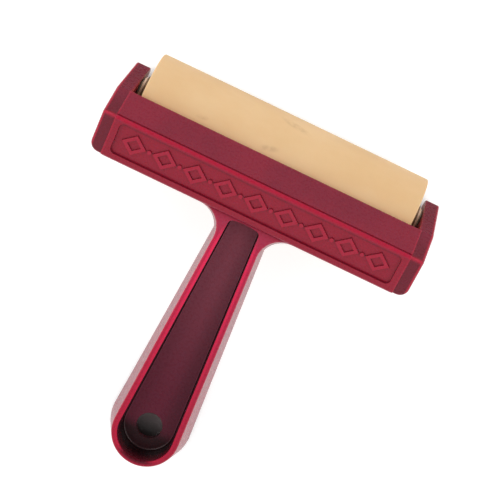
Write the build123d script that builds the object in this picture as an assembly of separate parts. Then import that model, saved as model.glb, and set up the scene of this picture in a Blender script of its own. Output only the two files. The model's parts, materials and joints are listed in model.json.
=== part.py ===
from build123d import *
import math
import os

# Rubber brayer. Millimetres and degrees.
# +X runs along the roller, +Y points from the handle to the roller, +Z is up.
# The brayer lies as it rests on a table: on its roller and on the back of the handle's end.
# Heights are above the table. Until the last step, Y is measured from the roller's axis.

# ---- roller ----
ROLLER_RADIUS = 15.9
ROLLER_LENGTH = 101.6
SLEEVE_EDGE = 0.7          # rounding of the rubber's two end edges
CORE_RADIUS = 9.5
CORE_WALL = 1.5
CORE_RECESS = 0.8          # how far the core and the plugs sit inside the rubber's ends
PLUG_LENGTH = 12.0
HUB_RADIUS = 6.9
HUB_STAND = 1.9            # how far a plug's hub stands out of the plug's face
BUSH_RADIUS = 4.6
BUSH_FLANGE_RADIUS = 6.4
BUSH_FLANGE = 0.4

# ---- axle ----
AXLE_RADIUS = 3.0
AXLE_CLEARANCE = 0.05      # radial, in the bushes and washers
AXLE_FLATS = 4.2           # across the two flats at each end
AXLE_CHAMFER = 0.4
WASHER_RADIUS = 5.8
WASHER_THICKNESS = 0.7
CLIP_THICKNESS = 0.4
CLIP_RADIUS = 5.2
CLIP_BAND = 1.3            # width of the clip's outer ring
CLIP_LOBE = 2.0            # width of each inward lobe
CLIP_MOUTH = 5.4
CLIP_GROOVE_RADIUS = 2.4
PLAY = 0.1                 # end play between neighbours along the axle

# ---- head ----
HEAD_HALF = 59.2           # half of the overall width
ARM_THICKNESS = 5.4
ROOF_HALF = 54.6           # half of the roof's length, which overlaps the arms a little
WALL = 2.4
FRONT_EDGE = (-1.8, 35.0)  # (Y, Z) of the roof's front edge, over the roller
RIDGE = (-12.0, 43.0)
BACK_EDGE = (-25.5, 35.2)
BACK_WALL_FOOT = 27.0
RIDGE_ROUND = 1.3
GROOVE_WIDTH = 0.7         # of the fine groove along the front of the ridge
GROOVE_DEPTH = 0.3
GROOVE_FROM_RIDGE = 0.95   # from the ridge to the groove's middle, down the front slope
LIP_ROUND = 0.8
EDGE_ROUND = 0.5           # small roundings on the roof's free edges
STEP_ROUND = 0.25          # on the steps between the roof and the arms
ARM_SETBACK = 0.3          # how far the arms' edges lie below the roof's faces
ARM_TIP = (11.4, 5.6)
ARM_HEEL = (-8.0, 4.6)
ARM_TIP_ROUND = 3.0        # the corners of an arm's outline, seen from the side
ARM_FOOT_ROUND = 5.0
CORNER_RADIUS = 3.2        # the head's two back corners, seen from above
ARM_EDGE_ROUND = 0.7
SEAT_DEPTH = 2.9           # depth of the blind slots for the axle's ends
SEAT_CLEARANCE = 0.1       # each side of the axle's flats
RIB_THICKNESS = 1.8
RIB_PLACES = (-36.0, -18.0, 18.0, 36.0)
RIB_GAP = 2.2              # between the ribs' curved edges and the roller

# ---- panel on the head's back slope ----
PANEL_LENGTH = 104.4
PANEL_WIDTH = 12.0
PANEL_FROM_RIDGE = 7.5     # from the ridge to the panel's middle, along the slope
PANEL_CORNER = 1.8
PANEL_DEPTH = 0.9
PANEL_DRAFT = 12.0
MOTIF_COUNT = 9
MOTIF_PITCH = 11.3
MOTIF_HALF_LENGTH = 4.6
MOTIF_HALF_WIDTH = 4.0
MOTIF_HOLLOW = 0.56        # inner lozenge as a share of the outer one
MOTIF_HEIGHT = 0.5
MOTIF_DOT = 0.85
MOTIF_DRAFT = 12.0

# ---- handle, in its own plane: t runs from the end's centre towards the head, n is square to the rim ----
HANDLE_SLOPE = 11.0
HANDLE_END = (-106.25, 18.42)   # (Y, Z) of the rim's end centre
RIM_RADIUS = 12.05
RIM_TAPER = 3.1
RIM_WALL = 2.0
RIM_ROUND = 0.55
BACK_DEPTH = 16.0
BACK_RADIUS = 14.8
BACK_TAPER = 3.9
CHANNEL_DEPTH = 10.0
CHANNEL_RUN = 81.0         # from the end's centre to the channel's wall at the head
CHANNEL_SHIFT = 0.3        # how far the channel's mouth lies towards the handle's end
FLOOR_RADIUS = 9.4
FLOOR_TAPER = 2.85
FLOOR_RUN = 80.0
FLOOR_SHIFT = 0.5          # how far the floor's outline lies towards the head
FLOOR_ROUND = 0.6
CHANNEL_CORNER = 1.8
CHANNEL_ARCH = 0.7         # how far the channel's wall at the head bows towards the head
WEB = 2.4
SKIRT_WALL = 2.0
SKIRT_RUN = 79.0
HANDLE_RIBS = 5
HANDLE_RIB_HEIGHT = 2.4
HOLE_RADIUS = 4.65
NECK_RADIUS = 8.6
NECK_DEPTH = 7.5                # the neck's fillets end at this depth below the rim

# ---- placing ----
AXIS_Y = 51.08             # puts the whole brayer's box over the origin

ARM_INNER = HEAD_HALF - ARM_THICKNESS
ROLLER_HALF = ROLLER_LENGTH / 2
PLUG_FACE = ROLLER_HALF - CORE_RECESS
HUB_FACE = PLUG_FACE + HUB_STAND
BUSH_FACE = HUB_FACE + BUSH_FLANGE
WASHER_START = BUSH_FACE + PLAY
CLIP_START = WASHER_START + WASHER_THICKNESS + PLAY
AXLE_HALF = ARM_INNER + SEAT_DEPTH - PLAY
OVERSIZE = 200.0           # reaches past the whole brayer, for cutting
LEVEL_TOLERANCE = 0.001

ROLLER_AXIS = Plane(origin=(0, 0, ROLLER_RADIUS), x_dir=(0, 1, 0), z_dir=(1, 0, 0))
HANDLE_PLANE = Plane(
    origin=(0, HANDLE_END[0], HANDLE_END[1]),
    x_dir=(1, 0, 0),
    z_dir=(0, -math.sin(math.radians(HANDLE_SLOPE)), math.cos(math.radians(HANDLE_SLOPE))),
)


# ---- helpers ----

def ring(start, end, radius, bore=0.0):
    """A disc or tube about the roller's axis, from X = start to X = end."""
    section = Circle(radius)
    if bore > 0:
        section = section - Circle(bore)
    return extrude(ROLLER_AXIS.offset(start) * section, amount=end - start)


def slab(points, start, end):
    """A profile of (Y, Z) points, extruded from X = start to X = end."""
    outline = Plane.YZ.offset(start) * make_face(Polyline(*points, close=True))
    return extrude(outline, amount=end - start)


def both_sides(solid):
    """The solid and its mirror image across the middle plane."""
    return solid + mirror(solid, about=Plane.YZ)


def wall_profile(path, thickness):
    """The closed outline of a wall that lies to the left of an open path of (Y, Z) points."""
    shifted = []
    for index, point in enumerate(path):
        before = path[max(index - 1, 0)]
        after = path[min(index + 1, len(path) - 1)]
        normals = []
        for first, second in ((before, point), (point, after)):
            run = (second[0] - first[0], second[1] - first[1])
            length = math.hypot(*run)
            if length > 0:
                normals.append((-run[1] / length, run[0] / length))
        middle = (sum(n[0] for n in normals) / len(normals), sum(n[1] for n in normals) / len(normals))
        reach = thickness / (middle[0] ** 2 + middle[1] ** 2)
        shifted.append((point[0] + middle[0] * reach, point[1] + middle[1] * reach))
    return list(path) + shifted[::-1]


def tongue(radius, taper, run, corner=0.0, arch=0.0):
    """A tongue outline: a round end about the origin and two sides that close in towards +Y.

    The far end is straight, or bows out by the arch, and its two corners may be rounded.
    """
    angle = math.radians(taper)
    side = (radius * math.cos(angle), radius * math.sin(angle))
    far = radius / math.cos(angle) - run * math.tan(angle)
    across = Line((-far, run), (far, run))
    if arch > 0:
        across = ThreePointArc((-far, run), (0, run + arch), (far, run))
    edges = [
        Line((far, run), side),
        ThreePointArc(side, (0, -radius), (-side[0], side[1])),
        Line((-side[0], side[1]), (-far, run)),
        across,
    ]
    face = make_face(edges)
    if corner > 0:
        face = fillet(face.vertices().sort_by(Axis.Y)[-2:], corner)
    return face


def between(top, top_level, bottom, bottom_level):
    """A solid that runs from one outline to another, at two levels square to the handle's rim."""
    sections = [Plane.XY.offset(top_level) * top, Plane.XY.offset(bottom_level) * bottom]
    return loft(sections, ruled=True)


def handle_section(depth):
    """End radius and taper of the handle's outside at a depth below the rim."""
    share = depth / BACK_DEPTH
    radius = RIM_RADIUS + (BACK_RADIUS - RIM_RADIUS) * share
    taper = RIM_TAPER + (BACK_TAPER - RIM_TAPER) * share
    return radius, taper


def handle_run(y, depth):
    """How far along the handle a vertical plane at Y lies, at a depth below the rim."""
    slope = math.radians(HANDLE_SLOPE)
    return (y - HANDLE_END[0] - depth * math.sin(slope)) / math.cos(slope)


def on_level(shape, depth):
    """The edges of a shape that lie at a depth below the rim, in the handle's own frame."""
    return shape.edges().filter_by(lambda edge: abs(edge.center().Z + depth) < LEVEL_TOLERANCE)


# ---- roller ----

def rubber_sleeve():
    sleeve = ring(-ROLLER_HALF, ROLLER_HALF, ROLLER_RADIUS, CORE_RADIUS)
    rims = sleeve.edges().filter_by(GeomType.CIRCLE).sort_by(SortBy.RADIUS)[-2:]
    return fillet(rims, SLEEVE_EDGE)


def core_tube():
    return ring(-PLUG_FACE, PLUG_FACE, CORE_RADIUS, CORE_RADIUS - CORE_WALL)


def end_plug():
    body = ring(PLUG_FACE - PLUG_LENGTH, PLUG_FACE, CORE_RADIUS - CORE_WALL)
    hub = ring(PLUG_FACE, HUB_FACE, HUB_RADIUS)
    bore = ring(PLUG_FACE - PLUG_LENGTH, HUB_FACE, BUSH_RADIUS)
    plug = body + hub
    hub_edge = plug.edges().filter_by(GeomType.CIRCLE).sort_by(Axis.X)[-1]
    return chamfer(hub_edge, AXLE_CHAMFER) - bore


def bearing_bush():
    barrel = ring(PLUG_FACE - PLUG_LENGTH, HUB_FACE, BUSH_RADIUS)
    flange = ring(HUB_FACE, BUSH_FACE, BUSH_FLANGE_RADIUS)
    bore = ring(PLUG_FACE - PLUG_LENGTH, BUSH_FACE, AXLE_RADIUS + AXLE_CLEARANCE)
    return barrel + flange - bore


# ---- axle ----

def axle_rod():
    rod = ring(-AXLE_HALF, AXLE_HALF, AXLE_RADIUS)
    rod = chamfer(rod.edges().filter_by(GeomType.CIRCLE), AXLE_CHAMFER)
    groove = ring(CLIP_START, CLIP_START + CLIP_THICKNESS, 2 * AXLE_RADIUS, CLIP_GROOVE_RADIUS)
    flat_start = CLIP_START + CLIP_THICKNESS + PLAY
    middle = (flat_start + AXLE_HALF) / 2 + PLAY
    keep = Box(2 * (middle - flat_start), AXLE_FLATS, 4 * AXLE_RADIUS)
    shave = Box(2 * (middle - flat_start), 4 * AXLE_RADIUS, 4 * AXLE_RADIUS) - keep
    return rod - both_sides(groove) - both_sides(Pos(middle, 0, ROLLER_RADIUS) * shave)


def thrust_washer():
    end = WASHER_START + WASHER_THICKNESS
    return ring(WASHER_START, end, WASHER_RADIUS, AXLE_RADIUS + AXLE_CLEARANCE)


def axle_clip():
    """An E-clip: a ring with a mouth at its foot and three lobes that grip the groove."""
    middle = CLIP_RADIUS - CLIP_BAND / 2
    plate = Circle(CLIP_RADIUS) - Circle(CLIP_RADIUS - CLIP_BAND)
    for turn in (0, 90, 180):
        lobe = Pos(middle / 2, 0) * Rectangle(middle, CLIP_LOBE)
        plate += Rot(0, 0, turn) * lobe
    mouth = Pos(0, -CLIP_RADIUS) * Rectangle(CLIP_MOUTH, 2 * CLIP_RADIUS)
    plate = plate - mouth - Circle(CLIP_GROOVE_RADIUS)
    return extrude(ROLLER_AXIS.offset(CLIP_START) * plate, amount=CLIP_THICKNESS)


# ---- frame ----

def panel_plane():
    run = (BACK_EDGE[0] - RIDGE[0], BACK_EDGE[1] - RIDGE[1])
    length = math.hypot(*run)
    along = (run[0] / length, run[1] / length)
    middle = (RIDGE[0] + along[0] * PANEL_FROM_RIDGE, RIDGE[1] + along[1] * PANEL_FROM_RIDGE)
    return Plane(origin=(0, middle[0], middle[1]), x_dir=(1, 0, 0), z_dir=(0, along[1], -along[0]))


def lozenge(scale, shift):
    length = MOTIF_HALF_LENGTH * scale
    width = MOTIF_HALF_WIDTH * scale
    corners = [(length, 0), (0, width), (-length, 0), (0, -width)]
    return Pos(shift, 0) * make_face(Polyline(*corners, close=True))


def panel_motif(plane):
    """A row of raised lozenge outlines with dots between them, standing on the panel's floor."""
    floor = plane.offset(-PANEL_DEPTH)
    top = floor.offset(MOTIF_HEIGHT)
    motif = Part()
    first = -(MOTIF_COUNT - 1) / 2 * MOTIF_PITCH
    for index in range(MOTIF_COUNT):
        shift = first + index * MOTIF_PITCH
        outer = extrude(floor * lozenge(1.0, shift), amount=MOTIF_HEIGHT, taper=MOTIF_DRAFT)
        inner = extrude(top * lozenge(MOTIF_HOLLOW, shift), amount=-MOTIF_HEIGHT, taper=MOTIF_DRAFT)
        motif += outer - inner
        if index > 0:
            dot = Pos(shift - MOTIF_PITCH / 2, 0) * Circle(MOTIF_DOT)
            motif += extrude(floor * dot, amount=MOTIF_HEIGHT, taper=MOTIF_DRAFT)
    return motif


def roof():
    """The shell between the arms: front slope, ridge, back slope with its panel, and back wall."""
    path = [FRONT_EDGE, RIDGE, BACK_EDGE, (BACK_EDGE[0], BACK_WALL_FOOT)]
    shell = slab(wall_profile(path, WALL), -ROOF_HALF, ROOF_HALF)
    shell = fillet(long_edge_at(shell, RIDGE), RIDGE_ROUND)
    shell = fillet(long_edge_at(shell, BACK_EDGE), LIP_ROUND)
    outside = Polyline(*[(0, y, z) for y, z in path])
    ends = shell.faces().filter_by(Axis.X).edges()
    shell = fillet(ends.filter_by(lambda edge: beside(edge, outside)), STEP_ROUND)
    shell = fillet(long_edge_at(shell, FRONT_EDGE), EDGE_ROUND)
    shell = fillet(long_edge_at(shell, path[-1]), EDGE_ROUND) - ridge_groove()
    plane = panel_plane()
    recess = extrude(
        plane * RectangleRounded(PANEL_LENGTH, PANEL_WIDTH, PANEL_CORNER),
        amount=-PANEL_DEPTH,
        taper=PANEL_DRAFT,
    )
    return shell - recess + panel_motif(plane)


def ridge_groove():
    run = (FRONT_EDGE[0] - RIDGE[0], FRONT_EDGE[1] - RIDGE[1])
    share = GROOVE_FROM_RIDGE / math.hypot(*run)
    middle = (RIDGE[0] + run[0] * share, RIDGE[1] + run[1] * share)
    tilt = math.degrees(math.atan2(run[1], run[0]))
    return Pos(0, *middle) * Rot(tilt, 0, 0) * Box(2 * ROOF_HALF, GROOVE_WIDTH, 2 * GROOVE_DEPTH)


def long_edge_at(shell, point):
    """The edge along X that passes nearest to a (Y, Z) point."""
    middle = Vertex(0, point[0], point[1])
    return shell.edges().filter_by(Axis.X).sort_by_distance(middle)[0]


def beside(edge, outside):
    """Whether an edge of an end face runs along the roof's outer surface."""
    centre = edge.center()
    return outside.distance_to(Vertex(0, centre.Y, centre.Z)) < WALL / 4


def arm():
    """The right-hand side plate, from the roof's end down to its tip beyond the axle."""
    ridge = (RIDGE[0], RIDGE[1] - ARM_SETBACK)
    front = (FRONT_EDGE[0] - ARM_SETBACK, FRONT_EDGE[1] - ARM_SETBACK)
    back = (BACK_EDGE[0] + ARM_SETBACK, BACK_EDGE[1] - ARM_SETBACK)
    foot = (back[0], BACK_WALL_FOOT)
    plate = slab([ridge, front, ARM_TIP, ARM_HEEL, foot, back], ARM_INNER, HEAD_HALF)
    plate = fillet(long_edge_at(plate, foot), ARM_FOOT_ROUND)
    plate = fillet([long_edge_at(plate, ARM_TIP), long_edge_at(plate, ARM_HEEL)], ARM_TIP_ROUND)
    width = 2 * (ARM_TIP[0] - back[0])
    plan = Pos(HEAD_HALF - width / 2, back[0] + width / 2) * RectangleRounded(width, width, CORNER_RADIUS)
    plate = plate & extrude(plan, amount=OVERSIZE)
    plate = fillet(plate.faces().sort_by(Axis.X)[-1].edges(), ARM_EDGE_ROUND)
    inner_edges = plate.faces().sort_by(Axis.X)[0].edges()
    return fillet(inner_edges.filter_by(lambda edge: edge.center().Z < BACK_WALL_FOOT), EDGE_ROUND)


def axle_seat():
    """The blind slot in the right-hand arm: round at the axle, open at the arm's foot."""
    width = AXLE_FLATS + 2 * SEAT_CLEARANCE
    cap = ring(ARM_INNER, ARM_INNER + SEAT_DEPTH, AXLE_RADIUS + SEAT_CLEARANCE)
    drop = Box(SEAT_DEPTH, width, OVERSIZE, align=(Align.MIN, Align.CENTER, Align.MAX))
    sides = Box(SEAT_DEPTH, width, OVERSIZE, align=(Align.MIN, Align.CENTER, Align.CENTER))
    cap = cap & (Pos(ARM_INNER, 0, ROLLER_RADIUS) * sides)
    return cap + Pos(ARM_INNER, 0, ROLLER_RADIUS) * drop


def head_ribs():
    """Stiffening ribs under the roof, cut back in an arc around the roller."""
    area = [FRONT_EDGE, RIDGE, BACK_EDGE, (BACK_EDGE[0], BACK_WALL_FOOT)]
    inset = wall_profile(area, WALL / 2)[len(area):]
    ribs = Part()
    for place in RIB_PLACES:
        ribs += slab(inset, place - RIB_THICKNESS / 2, place + RIB_THICKNESS / 2)
    return ribs - ring(-OVERSIZE, OVERSIZE, ROLLER_RADIUS + RIB_GAP)


def necked_tongue(depth):
    """The handle's outline at a depth, widened to the head's back wall by two concave arcs."""
    radius, taper = handle_section(depth)
    angle = math.radians(taper)
    wall = handle_run(BACK_EDGE[0], depth)
    inside = handle_run(BACK_EDGE[0] + WALL, depth)
    centre_y = wall - NECK_RADIUS
    centre_x = (radius + NECK_RADIUS) / math.cos(angle) - centre_y * math.tan(angle)
    half_turn = math.radians((90 + 180 + taper) / 2)
    middle = (centre_x + NECK_RADIUS * math.cos(half_turn), centre_y + NECK_RADIUS * math.sin(half_turn))
    touch = (centre_x - NECK_RADIUS * math.cos(angle), centre_y - NECK_RADIUS * math.sin(angle))
    end = (radius * math.cos(angle), radius * math.sin(angle))
    edges = [
        Line((-centre_x, inside), (centre_x, inside)),
        Line((centre_x, inside), (centre_x, wall)),
        ThreePointArc((centre_x, wall), middle, touch),
        Line(touch, end),
        ThreePointArc(end, (0, -radius), (-end[0], end[1])),
        Line((-end[0], end[1]), (-touch[0], touch[1])),
        ThreePointArc((-touch[0], touch[1]), (-middle[0], middle[1]), (-centre_x, wall)),
        Line((-centre_x, wall), (-centre_x, inside)),
    ]
    return make_face(edges)


def handle_body():
    """The handle's outside: a necked upper part and a plain lower part, both flaring towards the back."""
    upper = between(necked_tongue(0), 0, necked_tongue(NECK_DEPTH), -NECK_DEPTH)
    head_side = BACK_EDGE[0] + WALL
    middle = tongue(*handle_section(NECK_DEPTH), handle_run(head_side, NECK_DEPTH))
    back = tongue(*handle_section(BACK_DEPTH), handle_run(head_side, BACK_DEPTH))
    lower = between(middle, -NECK_DEPTH, back, -BACK_DEPTH)
    wall = handle_run(BACK_EDGE[0], 0)
    rim_edges = on_level(upper, 0).filter_by(lambda edge: edge.center().Y < wall - EDGE_ROUND)
    back_edges = on_level(lower, BACK_DEPTH).filter_by(lambda edge: edge.center().Y < wall - WALL)
    return fillet(rim_edges, RIM_ROUND) + fillet(back_edges, RIM_ROUND)


def handle_channel():
    """The open channel in the handle's top, wider at its mouth than at its floor."""
    mouth_run = CHANNEL_RUN + CHANNEL_SHIFT
    mouth = tongue(RIM_RADIUS - RIM_WALL, RIM_TAPER, mouth_run, CHANNEL_CORNER, CHANNEL_ARCH)
    floor = tongue(FLOOR_RADIUS, FLOOR_TAPER, FLOOR_RUN - FLOOR_SHIFT, CHANNEL_CORNER, CHANNEL_ARCH)
    channel = between(Pos(0, -CHANNEL_SHIFT) * mouth, 0, Pos(0, FLOOR_SHIFT) * floor, -CHANNEL_DEPTH)
    return fillet(on_level(channel, CHANNEL_DEPTH), FLOOR_ROUND)


def handle_underside():
    """The open hollow under the web, with cross ribs left standing in it."""
    level = CHANNEL_DEPTH + WEB
    radius, taper = handle_section(level)
    top = tongue(radius - SKIRT_WALL, taper, SKIRT_RUN, CHANNEL_CORNER)
    radius, taper = handle_section(BACK_DEPTH)
    bottom = tongue(radius - SKIRT_WALL, taper, SKIRT_RUN, CHANNEL_CORNER)
    hollow = between(top, -level, bottom, -BACK_DEPTH)
    pitch = SKIRT_RUN / (HANDLE_RIBS + 1)
    for index in range(HANDLE_RIBS):
        rib = Box(OVERSIZE, RIB_THICKNESS, HANDLE_RIB_HEIGHT, align=(Align.CENTER, Align.CENTER, Align.MAX))
        hollow -= Pos(0, (index + 1) * pitch, -level) * rib
    return hollow


def frame():
    body = roof() + both_sides(arm()) + head_ribs() + HANDLE_PLANE * handle_body()
    hole = Pos(0, 0, -CHANNEL_DEPTH - WEB / 2) * Cylinder(HOLE_RADIUS, 3 * WEB)
    body -= HANDLE_PLANE * (handle_channel() + handle_underside() + hole)
    return body - both_sides(axle_seat())


def main():
    right = {
        "end_plug": end_plug(),
        "bearing_bush": bearing_bush(),
        "thrust_washer": thrust_washer(),
        "axle_clip": axle_clip(),
    }
    nodes = {
        "frame": frame(),
        "rubber_sleeve": rubber_sleeve(),
        "core_tube": core_tube(),
        "axle_rod": axle_rod(),
    }
    for name, solid in right.items():
        nodes["right_" + name] = solid
        nodes["left_" + name] = mirror(solid, about=Plane.YZ)
    os.makedirs("parts", exist_ok=True)
    for name, solid in nodes.items():
        export_step(Pos(0, AXIS_Y, 0) * solid, "parts/" + name + ".step")


main()
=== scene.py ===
import json
import math

import bpy
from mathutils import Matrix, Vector


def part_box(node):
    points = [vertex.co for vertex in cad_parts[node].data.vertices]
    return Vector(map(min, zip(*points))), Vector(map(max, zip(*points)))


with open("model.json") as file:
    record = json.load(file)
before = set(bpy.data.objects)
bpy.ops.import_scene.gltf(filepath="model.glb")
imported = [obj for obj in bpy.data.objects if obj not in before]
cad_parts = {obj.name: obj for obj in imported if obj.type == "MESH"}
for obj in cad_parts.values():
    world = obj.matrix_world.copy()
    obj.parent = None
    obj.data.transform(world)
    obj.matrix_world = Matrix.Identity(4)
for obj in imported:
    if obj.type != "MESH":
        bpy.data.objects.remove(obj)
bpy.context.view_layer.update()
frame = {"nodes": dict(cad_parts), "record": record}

NODES = frame["nodes"]
MM = 0.001

# ---- places taken from the frame, in metres ----
hole = frame["record"]["mounts"][0]
HANDLE_UP = Vector(hole["axis"]).normalized()       # square to the handle's rim
if HANDLE_UP.z < 0:
    HANDLE_UP = -HANDLE_UP
HANDLE_ALONG = Vector((0, HANDLE_UP.z, -HANDLE_UP.y))
CHANNEL_DEPTH = 10 * MM
HOLE_RADIUS = hole["dims"]["r_mm"] * MM
WEB = hole["dims"]["length_mm"] * MM                # the channel's web, which the hole goes through
HOLE = Vector(hole["pos_m"])
RIM_END = HOLE + HANDLE_UP * (CHANNEL_DEPTH + WEB / 2)      # the centre of the rim's round end
frame_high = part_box("frame")[1]
sleeve_low, sleeve_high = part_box("rubber_sleeve")
AXIS_Y = (sleeve_low.y + sleeve_high.y) / 2
AXIS_Z = (sleeve_low.z + sleeve_high.z) / 2
HEAD_HALF = frame_high.x
RIDGE = (AXIS_Y - 12 * MM, 43 * MM)                 # (y, z)
BACK_SLOPE = math.radians(30)
BACK_SLOPE_UP = (0, -math.sin(BACK_SLOPE), math.cos(BACK_SLOPE))
BACK_SLOPE_DOWN = (0, -math.cos(BACK_SLOPE), -math.sin(BACK_SLOPE))
PANEL_DEPTH = 0.9 * MM
MOTIF_BELOW = 0.4 * MM                              # the motif's tops, below the back slope
HEAD_BACK = AXIS_Y - 25.5 * MM
ROOF_HALF = 54.6 * MM                               # half of the roof's length, where the arms start
PANEL_HALF = 52.2 * MM

# ---- the handle's rim, for the tones below ----
RIM_TAPER = math.radians(3.1)
RIM_INNER = 10.05 * MM                              # from the middle line to the rim's inner edge
NECK_START = 72 * MM                                # along the rim, from the centre of its round end

# ---- camera: looking down on the brayer, turned so that the roller runs down to the right ----
CAMERA_PLACE = (-2.1 * MM, 18.05 * MM, 600 * MM)
CAMERA_TURN = math.radians(25.55)
CAMERA_TILT = math.radians(-0.72)
VIEW_WIDTH = 174.5 * MM          # what the frame's width covers at the height of the roller's axis
SENSOR = 36.0


def add_camera():
    data = bpy.data.cameras.new("camera")
    camera = bpy.data.objects.new("camera", data)
    bpy.context.scene.collection.objects.link(camera)
    camera.location = CAMERA_PLACE
    camera.rotation_mode = "ZYX"         # turned first, then tilted about the brayer's length
    camera.rotation_euler = (0, CAMERA_TILT, CAMERA_TURN)
    data.sensor_width = SENSOR
    data.lens = SENSOR * (CAMERA_PLACE[2] - AXIS_Z) / VIEW_WIDTH
    data.clip_start = 10 * MM
    data.clip_end = 20                   # past the floor's far edge in any view
    bpy.context.scene.camera = camera


add_camera()


# ---- helpers for node materials ----

def set_range(node, *limits):
    """Sets a Map Range node: its lowest and highest input, then the output at each."""
    for name, number in zip(("From Min", "From Max", "To Min", "To Max"), limits):
        node.inputs[name].default_value = number


class Nodes:
    """A new material's node tree, with short calls to add and join nodes."""

    def __init__(self, name):
        self.material = bpy.data.materials.new(name)
        self.material.use_nodes = True
        self.tree = self.material.node_tree
        self.shader = self.tree.nodes["Principled BSDF"]
        self.coords = self.add("ShaderNodeTexCoord").outputs["Object"]

    def add(self, kind, **settings):
        node = self.tree.nodes.new(kind)
        for key, value in settings.items():
            setattr(node, key, value)
        return node

    def put(self, value, socket):
        """Links an output to a socket, or sets the socket to a number or vector."""
        if isinstance(value, bpy.types.NodeSocket):
            self.tree.links.new(value, socket)
        else:
            socket.default_value = value

    def shade(self, **values):
        """Sets the shader's sockets, each named with _ for its spaces."""
        for key, value in values.items():
            self.put(value, self.shader.inputs[key.replace("_", " ")])

    def math(self, operation, first, second=0.0):
        node = self.add("ShaderNodeMath", operation=operation)
        self.put(first, node.inputs[0])
        self.put(second, node.inputs[1])
        return node.outputs[0]

    def all_of(self, *masks):
        """The product of several masks or numbers."""
        product = masks[0]
        for mask in masks[1:]:
            product = self.math("MULTIPLY", product, mask)
        return product

    def dot(self, vector, direction):
        node = self.add("ShaderNodeVectorMath", operation="DOT_PRODUCT")
        self.put(vector, node.inputs[0])
        self.put(tuple(direction), node.inputs[1])
        return node.outputs["Value"]

    def along(self, direction, origin=(0, 0, 0)):
        """How far a point lies from an origin along a direction, in metres."""
        offset = Vector(direction).dot(Vector(origin))
        return self.math("SUBTRACT", self.dot(self.coords, direction), offset)

    def facing(self, direction):
        """How much the surface faces a direction, from -1 to 1."""
        return self.dot(self.add("ShaderNodeNewGeometry").outputs["Normal"], direction)

    def ramp(self, value, low, high, to_low=0.0, to_high=1.0):
        """A clamped smooth step of a value, from low to high."""
        node = self.add("ShaderNodeMapRange", interpolation_type="SMOOTHSTEP")
        set_range(node, low, high, to_low, to_high)
        self.put(value, node.inputs["Value"])
        return node.outputs["Result"]

    def fade(self, value, low, high):
        """1 up to low, and 0 from high on."""
        return self.ramp(value, low, high, 1.0, 0.0)

    def invert(self, mask):
        return self.math("SUBTRACT", 1.0, mask)

    def length(self, first, second):
        """The length of a vector in a plane, from its two parts."""
        squares = [self.math("MULTIPLY", value, value) for value in (first, second)]
        return self.math("SQRT", self.math("ADD", *squares))

    def near(self, value, middle, reach, soft):
        """1 where a value is within reach of its middle, fading to 0 over a soft margin."""
        away = self.math("ABSOLUTE", self.math("SUBTRACT", value, middle))
        return self.fade(away, reach, reach + soft)

    def noise(self, scale, detail=4.0, roughness=0.5, stretch=(1, 1, 1), shift=(0, 0, 0)):
        mapping = self.add("ShaderNodeMapping")
        mapping.inputs["Scale"].default_value = stretch
        mapping.inputs["Location"].default_value = shift
        self.put(self.coords, mapping.inputs["Vector"])
        node = self.add("ShaderNodeTexNoise")
        node.inputs["Scale"].default_value = scale
        node.inputs["Detail"].default_value = detail
        node.inputs["Roughness"].default_value = roughness
        self.put(mapping.outputs["Vector"], node.inputs["Vector"])
        return node.outputs["Fac"]

    def blend(self, factor, first, second):
        """A mix of two colours, the second where the factor is 1."""
        node = self.add("ShaderNodeMix", data_type="RGBA")
        self.put(factor, node.inputs["Factor"])
        for socket, colour in ((6, first), (7, second)):
            self.put((*colour, 1) if isinstance(colour, tuple) else colour, node.inputs[socket])
        return node.outputs[2]

    def bump(self, height, distance, below=None):
        """A normal tilted by a height, on top of another bump if one is given."""
        node = self.add("ShaderNodeBump")
        node.inputs["Distance"].default_value = distance
        self.put(height, node.inputs["Height"])
        if below is not None:
            self.put(below, node.inputs["Normal"])
        return node.outputs["Normal"]


def srgb(red, green, blue):
    """A colour given in 0-255 display values, as linear light."""
    linear = []
    for value in (red, green, blue):
        value = value / 255
        linear.append(value / 12.92 if value <= 0.04045 else ((value + 0.055) / 1.055) ** 2.4)
    return tuple(linear)


def dress(node, material):
    mesh = NODES[node].data
    mesh.materials.clear()
    mesh.materials.append(material)


# ---- materials: the painted light and shade follow places on the moulding, in metres or as how much a face turns ----

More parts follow.
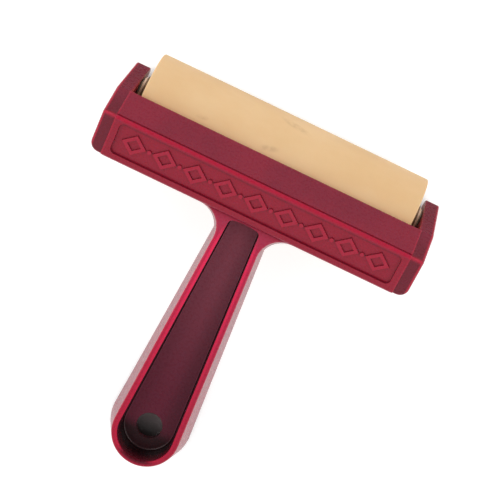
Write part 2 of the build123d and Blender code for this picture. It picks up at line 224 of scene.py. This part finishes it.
def handle_tones(n, colour, across, place_y):
    """The handle's painted light and shade: a painted glow on the rim, painted shade on the channel walls,
    hole and end, and painted light on a floor that pales to the neck.
    """
    # depth below the rim's plane, run along it from its end's centre, spread out from its middle line
    depth = n.math("MULTIPLY", n.along(HANDLE_UP, RIM_END), -1.0)
    run = n.along(HANDLE_ALONG, RIM_END)
    straight = n.math(
        "ADD",
        n.math("MULTIPLY", across, math.cos(RIM_TAPER)),
        n.math("MULTIPLY", run, math.sin(RIM_TAPER)),
    )
    from_centre = n.length(across, run)
    round_end = n.math("MULTIPLY", from_centre, n.math("LESS_THAN", run, 0.0))
    spread = n.math("MAXIMUM", straight, round_end)
    rightwards = n.along((1, 0, 0))

    on_handle = n.fade(place_y, HEAD_BACK - 0.6 * MM, HEAD_BACK - 0.2 * MM)
    in_channel = n.all_of(
        on_handle,
        n.fade(spread, RIM_INNER, RIM_INNER + 0.3 * MM),
        n.ramp(depth, 0.5 * MM, 1.2 * MM),
        n.fade(depth, CHANNEL_DEPTH + 0.3 * MM, CHANNEL_DEPTH + 0.8 * MM),
    )
    wall = n.all_of(in_channel, n.fade(n.facing(HANDLE_UP), 0.78, 0.96))
    channel_floor = n.all_of(in_channel, n.invert(wall))
    hole_wall = n.all_of(
        on_handle,
        n.fade(from_centre, HOLE_RADIUS + 0.05 * MM, HOLE_RADIUS + 0.15 * MM),
    )
    rim = n.all_of(on_handle, n.fade(depth, 0.3 * MM, 0.9 * MM))

    # painted light and shade on the channel floor: paler towards the neck, darker towards the right wall
    # and darkest at the round end
    floor_red = n.blend(n.ramp(run, 8 * MM, 80 * MM), srgb(125, 38, 64), srgb(176, 86, 106))
    floor_red = n.blend(n.ramp(rightwards, 0.0, 7 * MM, 0.0, 0.4), floor_red, srgb(84, 30, 46))
    floor_red = n.blend(n.fade(run, -4 * MM, 1 * MM), floor_red, srgb(52, 12, 20))
    # painted shade on the channel walls, darker the deeper they go
    wall_red = n.blend(n.ramp(depth, 1 * MM, 7 * MM), srgb(84, 14, 28), srgb(30, 6, 10))

    # painted glow on the rim, brighter on its inner half and towards the neck, with painted shade towards
    # the right and on the inner side of the round end, and a dimmer painted glow on the neck
    along_rim = n.ramp(run, -5 * MM, NECK_START)
    outer_rim = n.blend(along_rim, srgb(180, 28, 60), srgb(196, 36, 76))
    inner_rim = n.blend(along_rim, srgb(192, 28, 64), srgb(238, 46, 92))
    rim_red = n.blend(n.ramp(spread, RIM_INNER + 0.4 * MM, RIM_INNER + 1.4 * MM), inner_rim, outer_rim)
    rim_red = n.blend(n.ramp(rightwards, -6 * MM, 6 * MM, 0.0, 0.12), rim_red, srgb(110, 24, 46))
    end_shade = n.all_of(
        n.ramp(spread, RIM_INNER + 0.4 * MM, RIM_INNER + 1.8 * MM, 0.85, 0.0),
        n.fade(run, -10 * MM, -8 * MM),
    )
    rim_red = n.blend(end_shade, rim_red, srgb(52, 8, 20))
    neck_red = n.blend(n.ramp(run, 79 * MM, 83 * MM), srgb(174, 50, 78), srgb(158, 38, 62))
    rim_red = n.blend(n.ramp(run, NECK_START, 80 * MM), rim_red, neck_red)

    colour = n.blend(channel_floor, colour, floor_red)
    colour = n.blend(wall, colour, wall_red)
    # painted shade inside the hang hole
    colour = n.blend(hole_wall, colour, srgb(58, 10, 22))
    return n.blend(rim, colour, rim_red)


def slope_tones(n, colour, across, place_y, back):
    """The back slope's painted light and shade: a brighter red over its border and panel, painted shade on
    the sunk panel's steps and top, a painted highlight on the motif.
    """
    sunk = n.math("MULTIPLY", n.along(BACK_SLOPE_UP, (0, *RIDGE)), -1.0)
    down_slope = n.along(BACK_SLOPE_DOWN, (0, *RIDGE))
    on_slope = n.all_of(
        n.ramp(place_y, HEAD_BACK, HEAD_BACK + 0.5 * MM),
        n.fade(back, -1.6 * MM, -1.0 * MM),
        n.fade(sunk, PANEL_DEPTH + 0.1 * MM, PANEL_DEPTH + 0.3 * MM),
    )
    in_panel = n.all_of(
        on_slope,
        n.fade(across, PANEL_HALF + 0.2 * MM, PANEL_HALF + 0.5 * MM),
        n.ramp(sunk, 0.02 * MM, 0.1 * MM),
    )
    relief = n.all_of(in_panel, n.near(sunk, MOTIF_BELOW, 0.05 * MM, 0.05 * MM))
    shaded_top = n.all_of(in_panel, n.fade(down_slope, 1.9 * MM, 2.8 * MM))
    steps = n.all_of(in_panel, n.fade(n.facing(BACK_SLOPE_UP), 0.75, 0.95))

    # painted light: the back slope a brighter red than the rest of the moulding
    colour = n.blend(on_slope, colour, srgb(155, 20, 48))
    # painted highlight on the motif's raised tops
    colour = n.blend(relief, colour, srgb(172, 26, 56))
    # painted shade under the sunk panel's top wall
    colour = n.blend(shaded_top, colour, srgb(126, 20, 43))
    # painted shade on the sunk panel's steps
    return n.blend(steps, colour, srgb(118, 22, 40))


def head_tones(n, colour, across, place_y):
    """The head's painted light and shade: the back slope, painted shade on the arms, painted highlights on
    the edges round them and along the ridge, and a painted dark line in front of it.
    """
    back = n.math("SUBTRACT", place_y, RIDGE[0])
    down = n.math("SUBTRACT", n.along((0, 0, 1)), RIDGE[1])
    from_ridge = n.length(back, down)
    in_front = n.math("GREATER_THAN", back, 0.0)
    colour = slope_tones(n, colour, across, place_y, back)

    arm = n.ramp(across, ROOF_HALF - 0.1 * MM, ROOF_HALF + 0.2 * MM)
    # painted shade: the arms darker than the roof, lightening away from the ridge
    arm_red = n.blend(n.ramp(back, 3 * MM, 10 * MM), srgb(114, 18, 40), srgb(130, 24, 50))
    # painted highlight along the edge where each arm leaves the roof
    arm_line = n.all_of(
        n.ramp(n.facing((0, 0, 1)), 0.4, 0.6),
        n.near(across, ROOF_HALF - 0.2 * MM, 0.15 * MM, 0.35 * MM),
        0.6,
    )
    # painted highlight on the lip along the head's back
    lip = n.all_of(
        n.near(place_y, HEAD_BACK, 0.6 * MM, 0.3 * MM),
        n.ramp(n.facing((0, -1, 0)), 0.7, 0.95),
    )
    # painted highlight along the head's outer ends
    side_edge = n.all_of(
        n.ramp(across, HEAD_HALF - 1.1 * MM, HEAD_HALF - 0.6 * MM),
        n.fade(n.math("ABSOLUTE", n.facing((1, 0, 0))), 0.7, 0.95),
    )
    # painted highlight along the ridge, reaching further down the back slope
    ridge = n.math(
        "MAXIMUM",
        n.fade(from_ridge, 0.6 * MM, 1.0 * MM),
        n.math("SUBTRACT", n.fade(from_ridge, 0.3 * MM, 1.7 * MM), in_front),
    )
    # painted shade: a thin dark line just in front of the ridge
    shade_line = n.all_of(in_front, n.near(from_ridge, 0.95 * MM, 0.1 * MM, 0.3 * MM))

    colour = n.blend(arm, colour, arm_red)
    colour = n.blend(arm_line, colour, srgb(176, 28, 58))
    colour = n.blend(lip, colour, srgb(168, 30, 66))
    colour = n.blend(side_edge, colour, srgb(176, 26, 56))
    colour = n.blend(ridge, colour, srgb(182, 24, 58))
    return n.blend(shade_line, colour, srgb(140, 6, 34))


def frame_plastic():
    """Dark red translucent moulding with some subsurface scatter: deep on faces, with a painted glow where
    walls are thin or edges turn.
    """
    n = Nodes("frame_plastic")
    across = n.math("ABSOLUTE", n.along((1, 0, 0)))
    place_y = n.along((0, 1, 0))
    mottle = n.ramp(n.noise(70, 3.0), 0.35, 0.65)
    colour = n.blend(mottle, srgb(134, 24, 50), srgb(144, 26, 52))
    colour = handle_tones(n, colour, across, place_y)
    colour = head_tones(n, colour, across, place_y)
    n.shade(
        Base_Color=colour,
        Roughness=n.ramp(n.noise(900, 2.0), 0.3, 0.7, 0.24, 0.34),
        IOR=1.49,
        Specular_IOR_Level=0.4,
        Subsurface_Weight=0.25,
        Subsurface_Radius=(2.5, 0.3, 0.3),
        Subsurface_Scale=1.0 * MM,
        Normal=n.bump(n.noise(2600, 2.0), 0.02 * MM),
    )
    return n.material


# faint marks left by handling: where each lies on the rubber, its slant, its half length and half width
SMUDGES = (
    ((1 * MM, AXIS_Y + 12 * MM, 0), -0.15, (8 * MM, 1.3 * MM)),
    ((-4 * MM, AXIS_Y + 0.8 * MM, 0), 0.3, (5 * MM, 1.6 * MM)),
    ((-29 * MM, AXIS_Y + 0.6 * MM, 0), 0.2, (3 * MM, 1.2 * MM)),
)


def gum_rubber():
    """Ground gum rubber: fine marks around the roller, soft stains and a satin skin."""
    n = Nodes("gum_rubber")
    mottle = n.ramp(n.noise(45, 5.0, 0.6, (0.6, 1, 1)), 0.3, 0.7)
    colour = n.blend(mottle, srgb(240, 197, 143), srgb(246, 207, 157))
    stain = n.ramp(n.noise(26, 3.0, 0.55, (1, 1, 1), (3.1, 0.4, 1.7)), 0.58, 0.76)
    colour = n.blend(n.math("MULTIPLY", stain, 0.5), colour, srgb(214, 168, 116))
    patches = n.ramp(n.noise(420, 4.0), 0.35, 0.65, 0.05, 0.3)
    for place, slant, reach in SMUDGES:
        lengthways = n.math("DIVIDE", n.along((1, slant, 0), place), reach[0])
        sideways = n.math("DIVIDE", n.along((-slant, 1, 0), place), reach[1])
        smudge = n.fade(n.length(lengthways, sideways), 0.2, 1.0)
        colour = n.blend(n.all_of(smudge, patches), colour, srgb(170, 128, 92))
    grind = n.noise(900, 3.0, 0.6, (3, 0.15, 0.15))
    n.shade(
        Base_Color=colour,
        Roughness=n.ramp(mottle, 0.0, 1.0, 0.58, 0.68),
        IOR=1.5,
        Subsurface_Weight=0.1,
        Subsurface_Radius=(1.0, 0.6, 0.3),
        Subsurface_Scale=1.0 * MM,
        Normal=n.bump(grind, 0.05 * MM, n.bump(n.noise(1800, 2.0), 0.02 * MM)),
    )
    return n.material


def moulded(name, colour, roughness):
    n = Nodes(name)
    shaded = tuple(channel * 0.8 for channel in colour)
    n.shade(
        Base_Color=n.blend(n.ramp(n.noise(260, 3.0), 0.3, 0.7), shaded, colour),
        Roughness=n.ramp(n.noise(700), 0.3, 0.7, roughness - 0.05, roughness + 0.05),
        Normal=n.bump(n.noise(2400, 2.0), 0.02 * MM),
    )
    return n.material


def turned(name, colour, roughness):
    """Metal with fine turning marks around the roller's axis."""
    n = Nodes(name)
    marks = n.noise(2500, 3.0, 0.6, (1, 0.05, 0.05))
    shaded = tuple(channel * 0.75 for channel in colour)
    n.shade(
        Base_Color=n.blend(n.ramp(n.noise(400), 0.3, 0.7), shaded, colour),
        Metallic=1.0,
        Roughness=n.ramp(marks, 0.3, 0.7, roughness - 0.06, roughness + 0.08),
        Normal=n.bump(marks, 0.01 * MM),
    )
    return n.material


dress("frame", frame_plastic())
dress("rubber_sleeve", gum_rubber())
core = moulded("core_plastic", srgb(132, 98, 66), 0.5)
nylon = moulded("nylon", srgb(250, 216, 190), 0.45)
dress("core_tube", core)
dress("axle_rod", turned("axle_steel", srgb(150, 150, 154), 0.34))
clip = turned("clip_steel", srgb(150, 134, 118), 0.42)
for side in ("left_", "right_"):
    dress(side + "end_plug", core)
    dress(side + "bearing_bush", core)
    dress(side + "thrust_washer", nylon)
    dress(side + "axle_clip", clip)


# ---- floor, light and sky ----
FLOOR_HALF = 3.0
FLOOR_DROP = 0.2 * MM
FLOOR_GREY = (0.5, 0.5, 0.5)
FLOOR_GLOW = 0.76
COVER_REACH = 17 * MM                # how near above the floor something has to be to darken it
OPEN_SHARES = (0.46, 0.58)           # shares of open sky at which the floor starts to glow, and glows fully
HOLE_GREYS = (0.04, 0.46)            # painted shade of the covered floor, from one side of the hang hole to the other
BOX_PLACE = (0.55, 0.12, 0.5)        # of the right softbox; the left one mirrors it
BOX_SIZE = (0.5, 0.9)
LEFT_POWER = 2.4
RIGHT_POWER = 2.0
LIGHT_TARGET = (0, 0.02, 0.02)
CARD_HALF = 90 * MM
CARD_SPAN = (AXIS_Y + 16 * MM, AXIS_Y + 120 * MM)
CARD_GLOW = 0.2
SKY_BAND = (0.3, 0.95)               # the heights, as parts of straight up, between horizon and zenith


def add_floor():
    """A pale light table: it glows, but not where the brayer lies close above it, where a painted shadow
    takes its place, graded across the hang hole.
    """
    mesh = bpy.data.meshes.new("floor")
    corners = [(x * FLOOR_HALF, y * FLOOR_HALF, 0) for x, y in ((-1, -1), (1, -1), (1, 1), (-1, 1))]
    mesh.from_pydata(corners, [], [(0, 1, 2, 3)])
    floor = bpy.data.objects.new("floor", mesh)
    floor.location.z = -FLOOR_DROP
    bpy.context.scene.collection.objects.link(floor)
    n = Nodes("floor")
    sky_seen = n.add("ShaderNodeAmbientOcclusion", samples=12)
    sky_seen.inputs["Distance"].default_value = COVER_REACH
    uncovered = n.ramp(sky_seen.outputs["AO"], *OPEN_SHARES)
    past_hole = n.math("SUBTRACT", n.along((0, 1, 0)), HOLE.y)
    shade = n.ramp(past_hole, -5 * MM, 7 * MM, *HOLE_GREYS)
    n.shade(
        Base_Color=n.blend(uncovered, shade, FLOOR_GREY),
        Roughness=0.8,
        Specular_IOR_Level=0.1,
        Emission_Color=(1, 1, 1, 1),
        Emission_Strength=n.math("MULTIPLY", uncovered, FLOOR_GLOW),
    )
    mesh.materials.append(n.material)


def add_softbox(name, location, power):
    data = bpy.data.lights.new(name, "AREA")
    data.shape = "RECTANGLE"
    data.size, data.size_y = BOX_SIZE
    data.energy = power
    light = bpy.data.objects.new(name, data)
    bpy.context.scene.collection.objects.link(light)
    light.location = location
    aim = Vector(LIGHT_TARGET) - Vector(location)
    light.rotation_euler = aim.to_track_quat("-Z", "Y").to_euler()


def add_card():
    """A grey card in front of the roller that only reflections see, lying just above the floor."""
    near_y, far_y = CARD_SPAN
    mesh = bpy.data.meshes.new("dark_card")
    corners = [
        (-CARD_HALF, near_y, 0),
        (CARD_HALF, near_y, 0),
        (CARD_HALF, far_y, 0),
        (-CARD_HALF, far_y, 0),
    ]
    mesh.from_pydata(corners, [], [(0, 1, 2, 3)])
    card = bpy.data.objects.new("dark_card", mesh)
    bpy.context.scene.collection.objects.link(card)
    card.visible_camera = False
    card.visible_diffuse = False
    card.visible_transmission = False
    card.visible_shadow = False
    n = Nodes("dark_card")
    n.shade(
        Base_Color=(0, 0, 0, 1),
        Specular_IOR_Level=0.0,
        Emission_Color=(1, 1, 1, 1),
        Emission_Strength=CARD_GLOW,
    )
    mesh.materials.append(n.material)


def add_sky(zenith, horizon, near, far):
    """A studio surround, darker straight above than low down, and darker beyond the roller."""
    world = bpy.data.worlds.new("sky")
    bpy.context.scene.world = world
    world.use_nodes = True
    tree = world.node_tree
    coords = tree.nodes.new("ShaderNodeTexCoord")
    parts = tree.nodes.new("ShaderNodeSeparateXYZ")
    ramp = tree.nodes.new("ShaderNodeMapRange")
    ramp.interpolation_type = "SMOOTHSTEP"
    tree.links.new(coords.outputs["Generated"], parts.inputs["Vector"])
    tree.links.new(parts.outputs["Z"], ramp.inputs["Value"])
    set_range(ramp, *SKY_BAND, horizon, zenith)
    away = tree.nodes.new("ShaderNodeMapRange")
    tree.links.new(parts.outputs["Y"], away.inputs["Value"])
    set_range(away, -1.0, 1.0, near, far)
    product = tree.nodes.new("ShaderNodeMath")
    product.operation = "MULTIPLY"
    tree.links.new(ramp.outputs["Result"], product.inputs[0])
    tree.links.new(away.outputs["Result"], product.inputs[1])
    background = tree.nodes["Background"]
    background.inputs["Color"].default_value = (1, 1, 1, 1)
    tree.links.new(product.outputs[0], background.inputs["Strength"])


add_floor()
add_softbox("left_box", (-BOX_PLACE[0], *BOX_PLACE[1:]), LEFT_POWER)
add_softbox("right_box", BOX_PLACE, RIGHT_POWER)
add_card()
add_sky(zenith=0.34, horizon=1.0, near=1.0, far=0.62)
bpy.context.scene.view_settings.view_transform = "Standard"
